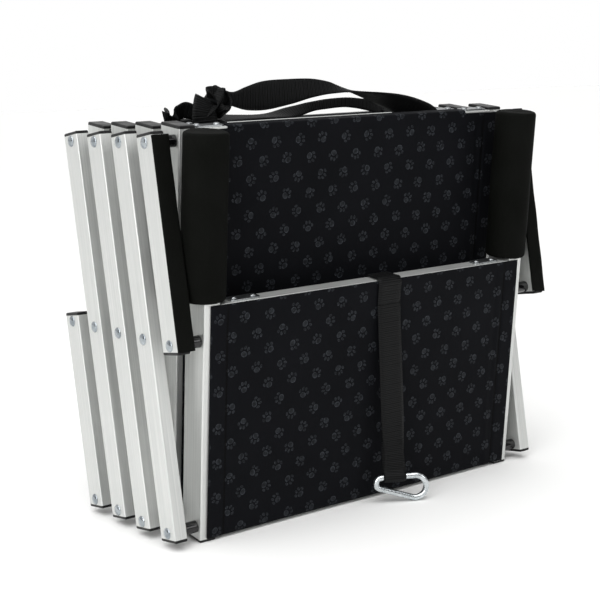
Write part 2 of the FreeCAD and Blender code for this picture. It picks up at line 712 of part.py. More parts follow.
make_tether_loop()
make_tether_strap()
gate_hinge = make_hook()
doc.recompute()

failed = [item.Name for item in doc.Objects if "Invalid" in item.State or "Error" in item.State]
if failed:
    raise ValueError("not built: " + ", ".join(failed))
whole = FreeCAD.BoundBox()
for label, thing in finished.items():
    if thing.Shape.isNull() or not thing.Shape.isValid():
        raise ValueError(label + " has no valid shape")
    if not thing.Shape.Solids:
        raise ValueError(label + " has no solid")
    whole.add(thing.Shape.BoundBox)
for label, thing in finished.items():
    thing.Shape.exportStep("parts/%s.step" % label)
print("sub-parts", len(finished))
ends = whole.XMin, whole.XMax, whole.YMin, whole.YMax, whole.ZMin, whole.ZMax
print("box", [round(value, 2) for value in ends])
print("tether hinge", [round(value, 3) for value in hang])
print("hook spine", [round(value, 3) for value in spine])
print("gate hinge", [round(value, 3) for value in gate_hinge])
print("middle pivot of the first stage", [round(value, 3) for value in front_pivot])
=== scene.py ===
import json
import math

import bmesh
import bpy
import numpy as np
from mathutils import Matrix, Vector


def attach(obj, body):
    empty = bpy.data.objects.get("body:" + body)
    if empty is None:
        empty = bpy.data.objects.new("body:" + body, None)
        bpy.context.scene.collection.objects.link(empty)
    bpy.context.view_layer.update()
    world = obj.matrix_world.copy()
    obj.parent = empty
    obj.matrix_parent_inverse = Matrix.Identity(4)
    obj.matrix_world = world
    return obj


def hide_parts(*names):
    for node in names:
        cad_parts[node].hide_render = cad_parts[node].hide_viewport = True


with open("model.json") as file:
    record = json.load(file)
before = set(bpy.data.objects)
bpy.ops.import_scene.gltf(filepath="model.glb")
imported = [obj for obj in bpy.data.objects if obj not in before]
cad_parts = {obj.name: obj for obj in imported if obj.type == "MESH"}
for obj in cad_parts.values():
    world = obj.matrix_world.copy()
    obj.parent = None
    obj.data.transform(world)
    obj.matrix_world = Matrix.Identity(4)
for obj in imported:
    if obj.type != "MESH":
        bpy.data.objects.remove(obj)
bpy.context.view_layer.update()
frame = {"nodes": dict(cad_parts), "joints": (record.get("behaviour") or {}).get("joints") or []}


# ---- Viewpoint ----
# A folded ramp stands on a plain white studio floor, seen from its front left and a little above,
# through a long lens, so that its upright bars stay nearly parallel.
LENS_MM = 81.0
EYE = (-0.8586, -1.1688, 0.4411)
SIGHT = Vector((0.57517, 0.80253, -0.15852))
RIGHT = Vector((0.80821, -0.58743, -0.04152))
SENSOR_MM = 36.0
CLIP_NEAR, CLIP_FAR = 0.05, 200.0

camera = bpy.data.objects.new("camera", bpy.data.cameras.new("camera"))
bpy.context.scene.collection.objects.link(camera)
camera.data.lens = LENS_MM
camera.data.sensor_width = SENSOR_MM
camera.data.clip_start, camera.data.clip_end = CLIP_NEAR, CLIP_FAR
upward = RIGHT.cross(SIGHT).normalized()
axes = Matrix((RIGHT.normalized(), upward, -SIGHT.normalized())).transposed()
camera.matrix_world = Matrix.Translation(EYE) @ axes.to_4x4()
bpy.context.scene.camera = camera
bpy.context.scene.view_settings.view_transform = "Standard"     # keeps the blacks deep


# ---- Studio floor ----
# A wide board, rolled with matt white paint that leaves a barely uneven gloss. It is white
# enough to run into the background without an edge.
FLOOR_HALF = 30.0
FLOOR_PAINT = "#f4f4f3"


def linear(code):
    """The linear colour of an sRGB hex code."""
    parts = np.array([int(code[i:i + 2], 16) for i in (1, 3, 5)]) / 255
    low, high = parts / 12.92, ((parts + 0.055) / 1.055) ** 2.4
    return (*np.where(parts <= 0.04045, low, high).tolist(), 1.0)


def add(tree, kind, inputs=None, stops=(), **settings):
    """Adds one shader node, with its settings, and its inputs as values or as links.

    A colour ramp's stops are pairs of a level and the colour or grey value that it has there.
    """
    made = tree.nodes.new("ShaderNode" + kind)
    for name, value in settings.items():
        setattr(made, name, value)
    for name, value in (inputs or {}).items():
        if isinstance(value, bpy.types.NodeSocket):
            tree.links.new(value, made.inputs[name])
        else:
            made.inputs[name].default_value = value
    for number, (level, tone) in enumerate(stops):
        stop = made.color_ramp.elements[number]
        stop.position = level
        stop.color = linear(tone) if isinstance(tone, str) else (tone, tone, tone, 1)
    return made


def finish_of(name, **shader):
    """A new material with one Principled shader; returns the material, its tree and the shader."""
    made = bpy.data.materials.new(name)
    made.use_nodes = True
    tree = made.node_tree
    tree.nodes.clear()
    surface = add(tree, "BsdfPrincipled", shader)
    add(tree, "OutputMaterial", {"Surface": surface.outputs["BSDF"]})
    return made, tree, surface


paint, tree, surface = finish_of("matt_white_paint", Roughness=0.9)
grain = add(tree, "TexNoise", {"Scale": 3.0, "Detail": 3.0})
surface.inputs["Base Color"].default_value = linear(FLOOR_PAINT)
gloss = add(tree, "ValToRGB", {"Fac": grain.outputs["Fac"]}, ((0.3, 0.86), (0.7, 0.94)))
tree.links.new(gloss.outputs["Color"], surface.inputs["Roughness"])
floor_mesh = bpy.data.meshes.new("studio_floor")
corners = [(x * FLOOR_HALF, y * FLOOR_HALF, 0.0) for x, y in ((-1, -1), (1, -1), (1, 1), (-1, 1))]
floor_mesh.from_pydata(corners, [], [(0, 1, 2, 3)])
floor_mesh.materials.append(paint)
floor = bpy.data.objects.new("studio_floor", floor_mesh)
bpy.context.scene.collection.objects.link(floor)


# ---- Studio light ----
# A broad bank overhead lights the whole floor evenly. A key box at the left front and a fill box
# at the right light the bars, and the room itself is bright behind the ramp and dim before it.
BANK_STRENGTH, BANK_ANGLE = 2.55, math.radians(70)
SOFT_BOXES = {
    "key_box": ((-2.5, -1.5, 1.2), 1.9, 46.0),
    "fill_box": ((1.6, -2.8, 1.5), 1.3, 16.0),
}
BANK_TURN = (math.radians(14), math.radians(-12), 0.0)
LAMP_TARGET = Vector((0.0, 0.0, 0.22))      # the middle of the folded ramp
ROOM_BEHIND, ROOM_BEFORE = 0.85, 0.14

world = bpy.data.worlds.new("studio_room")
bpy.context.scene.world = world
world.use_nodes = True
tree = world.node_tree
tree.nodes.clear()
way = add(tree, "SeparateXYZ", {0: add(tree, "TexCoord").outputs["Generated"]})
walls = add(tree, "ValToRGB", {"Fac": way.outputs["Y"]},
            ((0.0, ROOM_BEFORE), (0.6, ROOM_BEHIND))).outputs["Color"]
around = add(tree, "Background", {"Color": walls, "Strength": 1.0})
backdrop = add(tree, "Background", {"Color": linear("#ffffff"), "Strength": 1.0})
seen = add(tree, "MixShader", {0: add(tree, "LightPath").outputs["Is Camera Ray"],
                               1: around.outputs["Background"], 2: backdrop.outputs["Background"]})
add(tree, "OutputWorld", {"Surface": seen.outputs[0]})
for name, (place, width, power) in SOFT_BOXES.items():
    lamp = bpy.data.objects.new(name, bpy.data.lights.new(name, "AREA"))
    lamp.data.shape = "SQUARE"
    lamp.data.size = width
    lamp.data.energy = power
    lamp.location = place
    lamp.rotation_euler = (LAMP_TARGET - Vector(place)).to_track_quat("-Z", "Y").to_euler()
    bpy.context.scene.collection.objects.link(lamp)
bank = bpy.data.objects.new("overhead_bank", bpy.data.lights.new("overhead_bank", "SUN"))
bank.data.energy, bank.data.angle = BANK_STRENGTH, BANK_ANGLE
bank.rotation_euler = BANK_TURN
bpy.context.scene.collection.objects.link(bank)


# ---- Rails, cross bars and link bars ----
# Drawn tubes of anodised aluminium: rails of 18 by 34 mm and square cross bars of 18 mm make
# the steps' frames, and the folding links are 14 by 28 mm. The pivots' places and the fold's
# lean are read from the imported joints.
STEPS = range(1, 6)
SIDES = ("left", "right")
SMUDGES = 14.0           # handling marks across a metre
DRAW_LINES = 900.0       # lines across a face, per metre: about 1.1 mm apart
DRAW_LENGTH = 6.0        # and long along the bar

places = {joint["name"]: Vector(joint["pos_m"]) for joint in frame["joints"]}
middle = {stage: places["link_%d_fold" % stage] for stage in range(1, 5)}
middle[5] = places["unfold"]
lower = places["step_4_fold"] - places["link_4_fold"]
LEAN = math.atan2(lower.y, -lower.z)


def drawn_aluminium(name, turn, along):
    """Satin anodised aluminium: soft reflections, and faint lines along the way it was drawn."""
    made, tree, surface = finish_of(name, Metallic=0.72, Roughness=0.4)
    object_place = add(tree, "TexCoord").outputs["Object"]
    stretch = [DRAW_LINES] * 3
    stretch[along] = DRAW_LENGTH
    turned = add(tree, "Mapping", {"Vector": object_place, "Rotation": (turn, 0.0, 0.0)})
    lines = add(tree, "Mapping", {"Vector": turned.outputs["Vector"], "Scale": stretch})
    drawn = add(tree, "TexNoise", {"Vector": lines.outputs["Vector"], "Scale": 1.0, "Detail": 2.0})
    smudge = add(tree, "TexNoise", {"Vector": object_place, "Scale": SMUDGES, "Detail": 4.0})
    colour = add(tree, "ValToRGB", {"Fac": drawn.outputs["Fac"]},
                 ((0.3, "#c6c8c6"), (0.7, "#d6d7d5"))).outputs["Color"]
    tree.links.new(colour, surface.inputs["Base Color"])
    mixed = add(tree, "Math", {0: drawn.outputs["Fac"], 1: smudge.outputs["Fac"]}, operation="ADD")
    gloss = add(tree, "ValToRGB", {"Fac": mixed.outputs[0]}, ((0.75, 0.36), (1.25, 0.48)))
    tree.links.new(gloss.outputs["Color"], surface.inputs["Roughness"])
    bump = add(tree, "Bump", {"Height": drawn.outputs["Fac"], "Strength": 0.10, "Distance": 0.0002})
    tree.links.new(bump.outputs["Normal"], surface.inputs["Normal"])
    return made


def dress(node, material):
    """Gives every slot of a CAD node's object one material."""
    mesh = frame["nodes"][node].data
    if not mesh.materials:
        mesh.materials.append(material)
    for number in range(len(mesh.materials)):
        mesh.materials[number] = material


rail_finish = drawn_aluminium("anodised_aluminium_rail", -LEAN, 2)
cross_finish = drawn_aluminium("anodised_aluminium_cross_bar", -LEAN, 0)
link_finish = drawn_aluminium("anodised_aluminium_link", LEAN, 2)
for stage in STEPS:
    rails = (["step_5_rails"] if stage == 5
             else ["step_%d_%s_rail" % (stage, side) for side in SIDES])
    bars = (["link_%d_bars" % stage] if stage in (1, 5)
            else ["link_%d_%s_bar" % (stage, side) for side in SIDES])
    for node in rails:
        dress(node, rail_finish)
    for node in bars:
        dress(node, link_finish)
    dress("step_%d_cross_bars" % stage, cross_finish)


# ---- End caps ----
# Push-in plugs of moulded black polypropylene that close every tube. The mould's fine
# spark texture breaks up their shine.
CAP_BLACK = "#0c0c0d"
SPARK_GRAIN = 1600.0     # grains per metre: 0.6 mm, coarser than the real one so that it shows
CAP_RUBS = 60.0

cap_finish, tree, surface = finish_of("moulded_polypropylene", Roughness=0.42, IOR=1.49)
surface.inputs["Base Color"].default_value = linear(CAP_BLACK)
surface.inputs["Specular IOR Level"].default_value = 0.28
object_place = add(tree, "TexCoord").outputs["Object"]
spark = add(tree, "TexNoise", {"Vector": object_place, "Scale": SPARK_GRAIN, "Detail": 2.0})
rubbed = add(tree, "TexNoise", {"Vector": object_place, "Scale": CAP_RUBS, "Detail": 3.0})
gloss = add(tree, "ValToRGB", {"Fac": rubbed.outputs["Fac"]}, ((0.35, 0.34), (0.65, 0.5)))
tree.links.new(gloss.outputs["Color"], surface.inputs["Roughness"])
bump = add(tree, "Bump", {"Height": spark.outputs["Fac"], "Strength": 0.25, "Distance": 0.0003})
tree.links.new(bump.outputs["Normal"], surface.inputs["Normal"])
for stage in STEPS:
    dress("step_%d_caps" % stage, cap_finish)
    dress("link_%d_caps" % stage, cap_finish)


# ---- Rivets, brackets and screws ----
# Domed rivets join the links to the rails, and small plates hold the upper cross bars with two
# dome-headed screws each. All are steel with a bright nickel plate. Black nylon washers round
# the rivets keep the bars apart.
MM = 0.001
WASHER_SIDE = 226.0      # in mm: the washers lie nearer than this to the model's middle
CLOUDS, MARKS = 120.0, 700.0     # across a metre: 8 mm and 1.4 mm wide


def plated_steel(name, light, dark, low, high):
    """Bright plated steel: a clear reflection, with faint cloudiness and fine handling marks."""
    made, tree, surface = finish_of(name, Metallic=1.0, Roughness=low)
    object_place = add(tree, "TexCoord").outputs["Object"]
    cloud = add(tree, "TexNoise", {"Vector": object_place, "Scale": CLOUDS, "Detail": 4.0})
    marks = add(tree, "TexNoise", {"Vector": object_place, "Scale": MARKS, "Detail": 2.0})
    colour = add(tree, "ValToRGB", {"Fac": cloud.outputs["Fac"]}, ((0.35, dark), (0.65, light)))
    tree.links.new(colour.outputs["Color"], surface.inputs["Base Color"])
    gloss = add(tree, "ValToRGB", {"Fac": marks.outputs["Fac"]}, ((0.35, low), (0.7, high)))
    tree.links.new(gloss.outputs["Color"], surface.inputs["Roughness"])
    bump = add(tree, "Bump", {"Height": marks.outputs["Fac"], "Strength": 0.08, "Distance": 0.0002})
    tree.links.new(bump.outputs["Normal"], surface.inputs["Normal"])
    return made


rivet_finish = plated_steel("nickel_plated_rivet", "#aeb4b8", "#858c91", 0.10, 0.2)
tree = rivet_finish.node_tree
surface = next(node for node in tree.nodes if node.type == "BSDF_PRINCIPLED")
place = add(tree, "SeparateXYZ", {0: add(tree, "TexCoord").outputs["Object"]})
side = add(tree, "Math", {0: place.outputs["X"]}, operation="ABSOLUTE")
outer = add(tree, "Math", {0: side.outputs[0], 1: WASHER_SIDE * MM},
            operation="GREATER_THAN").outputs[0]
plate_colour = surface.inputs["Base Color"].links[0].from_socket
two = add(tree, "MixRGB", {"Fac": outer, "Color1": linear("#0b0b0c"), "Color2": plate_colour})
tree.links.new(two.outputs[0], surface.inputs["Base Color"])
tree.links.new(outer, surface.inputs["Metallic"])
bracket_finish = plated_steel("nickel_plated_bracket", "#a9acae", "#8d9092", 0.28, 0.4)
for stage in STEPS:
    dress("link_%d_pivots" % stage, rivet_finish)
    dress("step_%d_brackets" % stage, bracket_finish)


# ---- Tread boards ----
# Thin plywood panels behind the fabric, painted black, that carry the dog's weight. Only
# their backs show, with the grain just standing through the paint.
GRAIN_WIDTH = 260.0      # grain lines per metre: about 4 mm apart
GRAIN_LENGTH = 5.0       # and long across the step

board_finish, tree, surface = finish_of("black_painted_plywood", Roughness=0.6)
object_place = add(tree, "TexCoord").outputs["Object"]
grain_map = add(tree, "Mapping", {"Vector": object_place,
                                  "Scale": (GRAIN_LENGTH, GRAIN_WIDTH, GRAIN_WIDTH)})
grain = add(tree, "TexNoise", {"Vector": grain_map.outputs["Vector"], "Scale": 1.0, "Detail": 4.0})
colour = add(tree, "ValToRGB", {"Fac": grain.outputs["Fac"]}, ((0.3, "#111112"), (0.7, "#1b1b1c")))
tree.links.new(colour.outputs["Color"], surface.inputs["Base Color"])
gloss = add(tree, "ValToRGB", {"Fac": grain.outputs["Fac"]}, ((0.3, 0.5), (0.7, 0.68)))
tree.links.new(gloss.outputs["Color"], surface.inputs["Roughness"])
bump = add(tree, "Bump", {"Height": grain.outputs["Fac"], "Strength": 0.3, "Distance": 0.0003})
tree.links.new(bump.outputs["Normal"], surface.inputs["Normal"])
for stage in STEPS:
    dress("step_%d_board" % stage, board_finish)


# ---- Tread covers ----
# Black polyester cloth stretched over the front of every step, embossed all over with paw
# prints. A hem is sewn down each side, and on steps 2 and 4 the cloth turns over the upper bar.
COVER_HALF = 200.0       # all sizes of pieces are in millimetres from here on
TURN_HALF = 153.0        # half the width of the part that turns over the bar
BAR_TOP = 202.0          # the upper cross bar's top above the middle pivot
MIDDLE_BAR_TOP = 36.0
BARE_STRIP = 4.5         # on the third step the cloth ends this far below the bar's top
BAR_HALF = 9.0           # half a square cross bar
FOOT, SHORT_FOOT = -201.0, -11.0      # the cloth's lower edge, and the half-length fifth step's
CLOTH = 1.2
AIR = 0.2                # between the cloth and the bar
ROW = 3.0                # from one row of mesh points to the next
CORNER = 2.2             # radius of the turn over the bar
TURN_BACK = 5.0          # the turned edge ends this far behind the bar's middle
HEM = 19.0               # from the side edge to the hem's seam
SEAM = COVER_HALF - HEM
HEM_DIP = 0.85
SEAM_SHADE_HALF = 1.1             # half the width of the dark line painted along the seam, as painted shade in its crease
WAVE, FOLD, HEM_RISE = 0.45, 0.5, 0.25     # how far the waves, folds and hem stand out
WAVE_ACROSS, WAVE_DOWN = 37.0, 61.0
FOLD_ACROSS, FOLD_SLANT = 2.6, 40.0
COLUMNS = 241
PRINT_PITCH = 29.0       # from one paw print to the next along a row
ROW_PITCH = 18.0
THREAD = 1.3             # weave, drawn coarser than the real 0.4 mm threads so that it shows


def step_place(stage, points, lean=LEAN):
    """Turns points, in mm about a stage's middle pivot, by the step's lean and puts them there."""
    c, s = math.cos(lean), math.sin(lean)
    x, y, z = np.moveaxis(np.asarray(points, float), -1, 0)
    turned = np.stack([x, y * c - z * s, y * s + z * c], -1) * MM
    return turned + np.array(middle[stage])


def quads(numbers):
    """The four corners of every cell of a grid of point numbers, in order round the cell."""
    corners = [numbers[:-1, :-1], numbers[:-1, 1:], numbers[1:, 1:], numbers[1:, :-1]]
    return np.stack(corners, -1).reshape(-1, 4)


def mesh_piece(name, sheets, material, closed=True):
    """One mesh from grids of points. Each sheet is (points, uv, wrap): rows by columns.

    A wrapped sheet's columns close on themselves, and its first and last rows get end faces.
    """
    points, faces, places_uv, first = [], [], [], 0
    for grid, uv, wrap in sheets:
        rows, columns = grid.shape[:2]
        number = first + np.arange(rows * columns).reshape(rows, columns)
        spot = np.arange(rows * uv.shape[1]).reshape(rows, uv.shape[1])
        ring = np.concatenate([number, number[:, :1]], 1) if wrap else number
        faces += quads(ring).tolist()
        flat_uv = uv.reshape(-1, 2)
        places_uv.append(flat_uv[quads(spot)].reshape(-1, 2))
        if wrap:
            for row, order in ((0, -1), (rows - 1, 1)):
                faces.append(number[row][::order].tolist())
                places_uv.append(uv[row, :columns][::order])
        points.append(grid.reshape(-1, 3))
        first += rows * columns
    mesh = bpy.data.meshes.new(name)
    mesh.from_pydata(np.concatenate(points).tolist(), [], faces)
    layer = mesh.uv_layers.new(name="surface_metres")
    layer.data.foreach_set("uv", (np.concatenate(places_uv) * MM).astype(np.float32).ravel())
    if closed:
        work = bmesh.new()
        work.from_mesh(mesh)
        bmesh.ops.recalc_face_normals(work, faces=work.faces)
        work.to_mesh(mesh)
        work.free()
    mesh.polygons.foreach_set("use_smooth", [True] * len(mesh.polygons))
    mesh.materials.append(material)
    made = bpy.data.objects.new(name, mesh)
    bpy.context.scene.collection.objects.link(made)
    return made


# The sole and four toes of one print: each one's middle, half width and half height.
PAW = ((0, -1.8, 3.3, 2.8), (-5.0, 1.3, 1.25, 1.8), (-1.9, 4.5, 1.25, 1.9),
       (1.9, 4.5, 1.25, 1.9), (5.0, 1.3, 1.25, 1.8))


def paw_distance(tree, local):
    """How far a point lies from a paw print: below 1 inside its sole or one of four toes."""
    nearest = None
    for x, y, wide, high in PAW:
        off = add(tree, "VectorMath", {0: local, 1: (x, y, 0)}, operation="SUBTRACT")
        scaled = add(tree, "VectorMath", {0: off.outputs[0], 1: (1 / wide, 1 / high, 0)},
                     operation="MULTIPLY")
        reach = add(tree, "VectorMath", {0: scaled.outputs[0]}, operation="LENGTH").outputs["Value"]
        nearest = reach if nearest is None else add(
            tree, "Math", {0: nearest, 1: reach}, operation="MINIMUM").outputs[0]
    return nearest


def paw_cloth():
    """Black woven polyester: almost no shine on the ground, and a duller gloss on the prints.

    Rows of prints stand half a pitch apart, and each print is turned by its own angle. A band round
    each print's edge is painted lighter, as a painted highlight on the embossed rim.
    """
    made, tree, surface = finish_of("embossed_polyester", Roughness=0.8, IOR=1.45)
    surface.inputs["Specular IOR Level"].default_value = 0.12
    surface.inputs["Sheen Weight"].default_value = 0.02
    surface.inputs["Sheen Roughness"].default_value = 0.4
    surface.inputs["Sheen Tint"].default_value = linear("#8d93a0")
    metres = add(tree, "UVMap", uv_map="surface_metres").outputs["UV"]
    cells = add(tree, "VectorMath", {0: metres, 1: (1000 / PRINT_PITCH, 1000 / ROW_PITCH, 0)},
                operation="MULTIPLY").outputs[0]
    split = add(tree, "SeparateXYZ", {0: cells})
    row = add(tree, "Math", {0: split.outputs["Y"]}, operation="FLOOR").outputs[0]
    half = add(tree, "Math", {0: row, 1: 0.5}, operation="MULTIPLY").outputs[0]
    shifted = add(tree, "Math", {0: split.outputs["X"], 1: half}, operation="ADD").outputs[0]
    column = add(tree, "Math", {0: shifted}, operation="FLOOR").outputs[0]
    across = add(tree, "Math", {0: shifted, 1: column}, operation="SUBTRACT").outputs[0]
    upward = add(tree, "Math", {0: split.outputs["Y"], 1: row}, operation="SUBTRACT").outputs[0]
    centred = add(tree, "VectorMath", {
        0: add(tree, "CombineXYZ", {"X": across, "Y": upward}).outputs[0], 1: (0.5, 0.5, 0)},
        operation="SUBTRACT").outputs[0]
    local = add(tree, "VectorMath", {0: centred, 1: (PRINT_PITCH, ROW_PITCH, 0)},
                operation="MULTIPLY").outputs[0]
    draw = add(tree, "TexWhiteNoise", {"Vector": add(
        tree, "CombineXYZ", {"X": column, "Y": row}).outputs[0]}, noise_dimensions="2D")
    angle = add(tree, "Math", {0: draw.outputs["Value"], 1: math.tau},
                operation="MULTIPLY").outputs[0]
    turned = add(tree, "VectorRotate", {"Vector": local, "Angle": angle}, rotation_type="Z_AXIS")
    reach = paw_distance(tree, turned.outputs["Vector"])
    inside = add(tree, "ValToRGB", {"Fac": reach},
                 ((0.82, 1.0), (1.0, 0.0))).outputs["Color"]
    rim = add(tree, "Math", {0: reach, 1: 0.93, 2: 0.14}, operation="COMPARE").outputs[0]
    threads = add(tree, "VectorMath", {0: metres, 1: (1000 / THREAD,) * 3},
                  operation="MULTIPLY").outputs[0]
    weave = add(tree, "TexChecker", {"Vector": threads, "Scale": 1.0})
    nap = add(tree, "TexNoise", {"Vector": metres, "Scale": 900.0, "Detail": 3.0})
    patch = add(tree, "TexNoise", {"Vector": metres, "Scale": 18.0, "Detail": 3.0})
    ground = add(tree, "ValToRGB", {"Fac": patch.outputs["Fac"]},
                 ((0.3, "#040508"), (0.7, "#07080c"))).outputs["Color"]
    # The prints are filled with a lighter grey.
    print_fill = add(tree, "ValToRGB", {"Fac": nap.outputs["Fac"]},
               ((0.35, "#16181b"), (0.65, "#26292d"))).outputs["Color"]
    # A band round each print's edge is painted lighter: a painted highlight where light catches the
    # embossed rims. Noise breaks up both the fill and this band.
    edge = add(tree, "ValToRGB", {"Fac": nap.outputs["Fac"]},
               ((0.35, "#26292d"), (0.65, "#3a3d42"))).outputs["Color"]
    rubbed = add(tree, "TexNoise", {"Vector": metres, "Scale": 260.0, "Detail": 2.0})
    kept = add(tree, "ValToRGB", {"Fac": rubbed.outputs["Fac"]},
               ((0.38, 0.25), (0.6, 1.0))).outputs["Color"]
    filled = add(tree, "Math", {0: inside, 1: kept}, operation="MULTIPLY").outputs[0]
    rim_highlight = add(tree, "Math", {0: rim, 1: kept}, operation="MULTIPLY").outputs[0]
    first = add(tree, "MixRGB", {"Fac": filled, "Color1": ground, "Color2": print_fill})
    second = add(tree, "MixRGB", {"Fac": rim_highlight, "Color1": first.outputs[0], "Color2": edge})
    # A dark line along each hem's seam is painted shade: the shade in the seam's crease, drawn into
    # the colour.
    place = add(tree, "SeparateXYZ", {0: add(tree, "TexCoord").outputs["Object"]})
    side = add(tree, "Math", {0: place.outputs["X"]}, operation="ABSOLUTE").outputs[0]
    seam_shade = add(tree, "Math", {0: side, 1: SEAM * MM, 2: SEAM_SHADE_HALF * MM}, operation="COMPARE")
    third = add(tree, "MixRGB", {"Fac": seam_shade.outputs[0], "Color1": second.outputs[0],
                                 "Color2": linear("#010102")})
    tree.links.new(third.outputs[0], surface.inputs["Base Color"])
    gloss = add(tree, "ValToRGB", {"Fac": inside}, ((0.0, 0.82), (1.0, 0.55)))
    tree.links.new(gloss.outputs["Color"], surface.inputs["Roughness"])
    pressed = add(tree, "Bump", {"Height": inside, "Strength": 0.6, "Distance": 0.0006},
                  invert=True)
    woven = add(tree, "Bump", {"Height": weave.outputs["Fac"], "Strength": 0.18, "Distance": 0.0003,
                               "Normal": pressed.outputs["Normal"]})
    tree.links.new(woven.outputs["Normal"], surface.inputs["Normal"])
    return made


cloth_finish = paw_cloth()


def cover_profile(stage):
    """The cloth's path over a step, as (y, z, half width) from its turned edge or top downwards."""
    top = {1: MIDDLE_BAR_TOP, 3: BAR_TOP - BARE_STRIP}.get(stage, BAR_TOP)
    low = SHORT_FOOT if stage == 5 else FOOT
    face = -BAR_HALF - CLOTH - AIR
    down = np.linspace(top - ROW, low, max(int((top - low) / ROW), 20))
    run = np.stack([np.full_like(down, face), down, np.full_like(down, COVER_HALF)], -1)
    if stage not in (2, 4):
        head = np.array([[face, top - 0.4, COVER_HALF], [face, top - 1.4, COVER_HALF]])
        return np.concatenate([head, run])
    back = np.linspace(TURN_BACK, face + CORNER, 9)
    over = np.stack([back, np.full_like(back, top + CLOTH + 0.1),
                     np.full_like(back, TURN_HALF)], -1)
    bend = np.linspace(0.15, 1.0, 4) * math.pi / 2
    corner = np.stack([face + CORNER - CORNER * np.sin(bend),
                       top + CLOTH - 2.1 + CORNER * np.cos(bend),
                       np.full_like(bend, TURN_HALF)], -1)
    cut = np.array([[face, top - 1.9, TURN_HALF + 0.5], [face, top - 2.4, COVER_HALF]])
    return np.concatenate([over, corner, cut, run])


for stage in STEPS:
    profile = cover_profile(stage)
    steps_down = np.linalg.norm(np.diff(profile[:, :2], axis=0), axis=1)
    length = np.concatenate([[0.0], np.cumsum(steps_down)])
    share = np.linspace(-1.0, 1.0, COLUMNS)
    x = share[None, :] * profile[:, 2:3]
    y = np.repeat(profile[:, :1], len(share), 1)
    z = np.repeat(profile[:, 1:2], len(share), 1)
    # The face waves slightly, dips along the hem's seam and, on the right, folds beside it.
    on_face = np.clip((profile[:, 1:2].max() - 6.0 - z) / 12.0, 0.0, 1.0) * (profile[:, 2:3] > 190)
    beside = np.exp(-((np.abs(x) - SEAM + 9.0) / 6.0) ** 2)
    wave = WAVE * np.sin(x / WAVE_ACROSS + 0.6 * stage) * np.cos(z / WAVE_DOWN - stage)
    folds = FOLD * np.sin(x / FOLD_ACROSS + z / FOLD_SLANT) * beside * (x > 0)
    dip = HEM_DIP * np.exp(-((np.abs(x) - SEAM) / 1.7) ** 2)
    rise = HEM_RISE / (1.0 + np.exp(-(np.abs(x) - SEAM - 1.0) / 0.8))
    y = y + on_face * (wave + folds + dip - rise)
    grid = step_place(stage, np.stack([x, y, z], -1))
    run = np.repeat(length[:, None], len(share), 1)
    uv = np.stack([x + 500.0 + 9.0 * stage, run + 300.0], -1)
    cover = mesh_piece("step_%d_cloth" % stage, [(grid, uv, False)], cloth_finish, closed=False)
    thick = cover.modifiers.new("cloth_thickness", "SOLIDIFY")
    thick.thickness = CLOTH * MM
    thick.offset = 1.0
    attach(cover, "step_%d" % stage)
    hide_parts("step_%d_cover" % stage)


# ---- Foam sleeves ----
# Thick sleeves of closed-cell foam rubber pushed over the first step's two arms. They
# cushion the sill that the ramp's top rests on. Their cut lower rims are a little uneven.
SLEEVE_SIDE = 198.0
SLEEVE_BACK = 8.0        # from the pivots' line back to the middle of the arm
SLEEVE_RADIUS = 21.8
SLEEVE_LOW, SLEEVE_HIGH = 37.7, 197.8
SLEEVE_ROUND = 3.2
FOAM_CELLS = 900.0       # per metre: 1.1 mm, coarser than the real cells so that they show
RIM_UNEVEN = 0.25

foam_finish, tree, surface = finish_of("closed_cell_foam", Roughness=0.88, IOR=1.45)
surface.inputs["Specular IOR Level"].default_value = 0.09
object_place = add(tree, "TexCoord").outputs["Object"]
cells = add(tree, "TexVoronoi", {"Vector": object_place, "Scale": FOAM_CELLS})
patch = add(tree, "TexNoise", {"Vector": object_place, "Scale": 25.0, "Detail": 4.0})
colour = add(tree, "ValToRGB", {"Fac": patch.outputs["Fac"]}, ((0.3, "#040503"), (0.7, "#090a08")))
tree.links.new(colour.outputs["Color"], surface.inputs["Base Color"])
gloss = add(tree, "ValToRGB", {"Fac": cells.outputs["Distance"]}, ((0.0, 0.95), (0.7, 0.78)))
tree.links.new(gloss.outputs["Color"], surface.inputs["Roughness"])
bump = add(tree, "Bump", {"Height": cells.outputs["Distance"], "Strength": 0.25,
                          "Distance": 0.0003})
tree.links.new(bump.outputs["Normal"], surface.inputs["Normal"])


